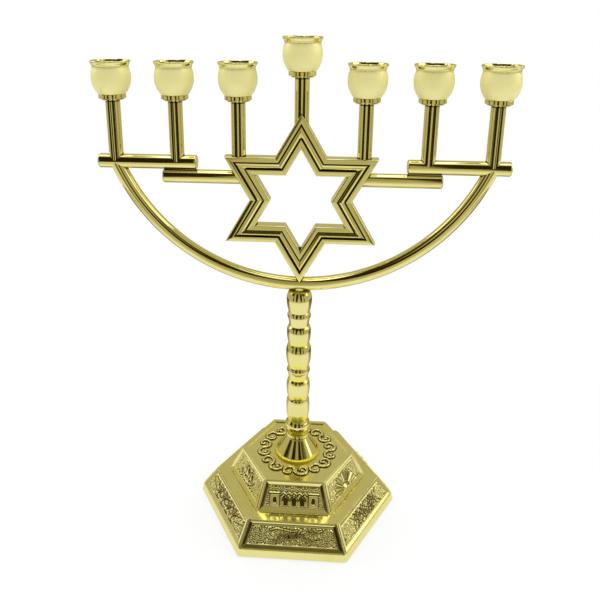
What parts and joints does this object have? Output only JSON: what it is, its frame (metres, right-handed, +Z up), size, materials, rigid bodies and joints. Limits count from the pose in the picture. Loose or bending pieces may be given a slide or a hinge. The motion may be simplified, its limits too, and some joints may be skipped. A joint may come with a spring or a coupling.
{
  "type": "menorah",
  "caption": "Branched candle holder: a row of cups on stems over a hexagram frame and a round bow, on a beaded column and a stepped hexagonal base.",
  "frame": {"origin": "middle of the felt pad's underside, on the surface that the menorah stands on", "axes": "+Z up, +X along the row of cups to the right as seen from the front, -Y to the front"},
  "size_m": [0.2226, 0.105, 0.2804],
  "materials": {
    "bright_gold": "polished gold plate",
    "base_gold": "gold plate over a cast surface, darker in the recesses",
    "black_felt": "felt",
    "zinc_steel": "zinc plated"
  },
  "bodies": {
    "base": {"base_casting": "base_gold", "felt_pad": "black_felt", "tie_rod": "zinc_steel", "rod_washer": "zinc_steel", "rod_nut": "zinc_steel", "column_foot": "bright_gold", "collar_bead": "bright_gold", "long_bead": "bright_gold", "lower_spindle": "bright_gold", "upper_spindle": "bright_gold"},
    "branch_head": {"bow": "bright_gold", "star_frame": "bright_gold", "upper_crossbar_left": "bright_gold", "upper_crossbar_right": "bright_gold", "lower_crossbar_left": "bright_gold", "lower_crossbar_right": "bright_gold", "candle_stem_1": "bright_gold", "candle_stem_2": "bright_gold", "candle_stem_3": "bright_gold", "candle_stem_4": "bright_gold", "candle_stem_5": "bright_gold", "candle_stem_6": "bright_gold", "candle_stem_7": "bright_gold"},
    "cup_1": {"candle_cup_1": "bright_gold"},
    "cup_2": {"candle_cup_2": "bright_gold"},
    "cup_3": {"candle_cup_3": "bright_gold"},
    "cup_4": {"candle_cup_4": "bright_gold"},
    "cup_5": {"candle_cup_5": "bright_gold"},
    "cup_6": {"candle_cup_6": "bright_gold"},
    "cup_7": {"candle_cup_7": "bright_gold"}
  },
  "joints": [
    {"name": "head_turn", "type": "hinge", "parent": "base", "child": "branch_head", "pos_m": [0, 0, 0.1404], "axis": [0, 0, 1], "continuous": true},
    {"name": "cup_1_unscrew", "type": "hinge", "parent": "branch_head", "child": "cup_1", "pos_m": [-0.10095, 0, 0.24693], "axis": [0, 0, 1], "range_deg": [0, 180]},
    {"name": "cup_2_unscrew", "type": "hinge", "parent": "branch_head", "child": "cup_2", "pos_m": [-0.0673, 0, 0.24693], "axis": [0, 0, 1], "range_deg": [0, 180]},
    {"name": "cup_3_unscrew", "type": "hinge", "parent": "branch_head", "child": "cup_3", "pos_m": [-0.03365, 0, 0.24693], "axis": [0, 0, 1], "range_deg": [0, 180]},
    {"name": "cup_4_unscrew", "type": "hinge", "parent": "branch_head", "child": "cup_4", "pos_m": [0, 0, 0.25993], "axis": [0, 0, 1], "range_deg": [0, 180]},
    {"name": "cup_5_unscrew", "type": "hinge", "parent": "branch_head", "child": "cup_5", "pos_m": [0.03365, 0, 0.24693], "axis": [0, 0, 1], "range_deg": [0, 180]},
    {"name": "cup_6_unscrew", "type": "hinge", "parent": "branch_head", "child": "cup_6", "pos_m": [0.0673, 0, 0.24693], "axis": [0, 0, 1], "range_deg": [0, 180]},
    {"name": "cup_7_unscrew", "type": "hinge", "parent": "branch_head", "child": "cup_7", "pos_m": [0.10095, 0, 0.24693], "axis": [0, 0, 1], "range_deg": [0, 180]}
  ]
}
